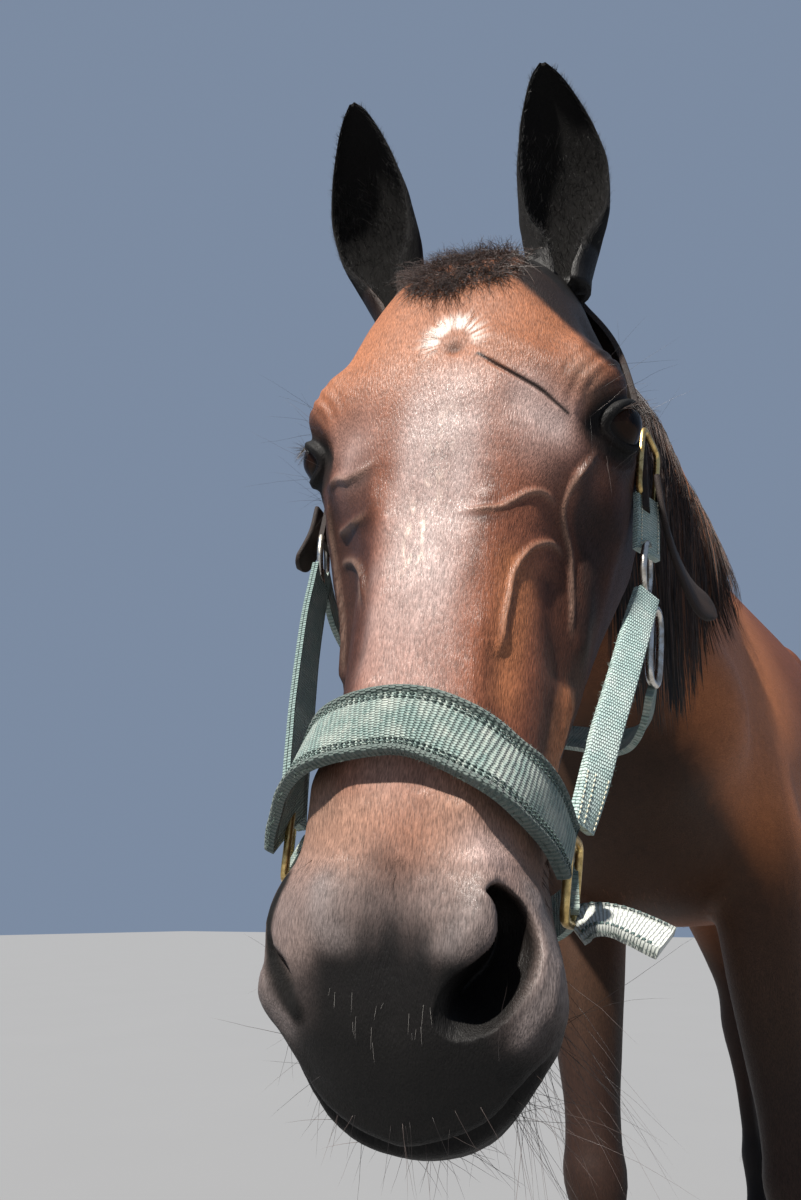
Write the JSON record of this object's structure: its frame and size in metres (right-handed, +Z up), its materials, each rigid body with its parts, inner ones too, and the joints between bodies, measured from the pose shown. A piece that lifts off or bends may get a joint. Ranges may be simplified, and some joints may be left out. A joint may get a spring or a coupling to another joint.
{
  "type": "thoroughbred horse",
  "caption": "Life-size bay thoroughbred horse standing with a lowered neck and turned head, wearing a webbing halter.",
  "frame": {"origin": "centre of the bounding box at floor level, under the hooves' soles", "axes": "the horse faces -Y, +Z is up, and its left side is +X; the tail points along +Y"},
  "size_m": [0.5604, 2.6026, 1.6255],
  "materials": {
    "coat_bay": "short bay hair over hide",
    "coat_black": "short black hair over hide",
    "hair_black": "long black tail and mane hair",
    "hoof_horn": "dark grey horn",
    "eye_dark": "wet dark brown",
    "webbing_green": "worn teal green webbing",
    "webbing_pale": "faded pale green webbing",
    "leather_brown": "dark brown strap leather",
    "brass": "worn brass",
    "nickel": "worn nickel plate"
  },
  "bodies": {
    "root": {"cheek_strap_left": "webbing_pale", "cheek_strap_right": "webbing_pale", "chin_strap": "webbing_green", "crown_end_left": "leather_brown", "crown_end_right": "leather_brown", "crown_strap": "leather_brown", "ear_left": "coat_black", "ear_right": "coat_black", "eye_left": "eye_dark", "eye_right": "eye_dark", "head": "coat_bay", "hoof_front_left": "hoof_horn", "hoof_front_right": "hoof_horn", "hoof_hind_left": "hoof_horn", "hoof_hind_right": "hoof_horn", "leg_front_left": "coat_black", "leg_front_right": "coat_black", "leg_hind_left": "coat_black", "leg_hind_right": "coat_black", "neck": "coat_bay", "noseband": "webbing_green", "ring_buckle_left": "brass", "ring_cheek_left": "nickel", "ring_cheek_right": "nickel", "ring_side_left": "brass", "ring_side_right": "brass", "ring_snap_left": "nickel", "strap_end": "webbing_green", "tail": "hair_black", "throat_strap": "webbing_green", "torso": "coat_bay"}
  },
  "joints": []
}
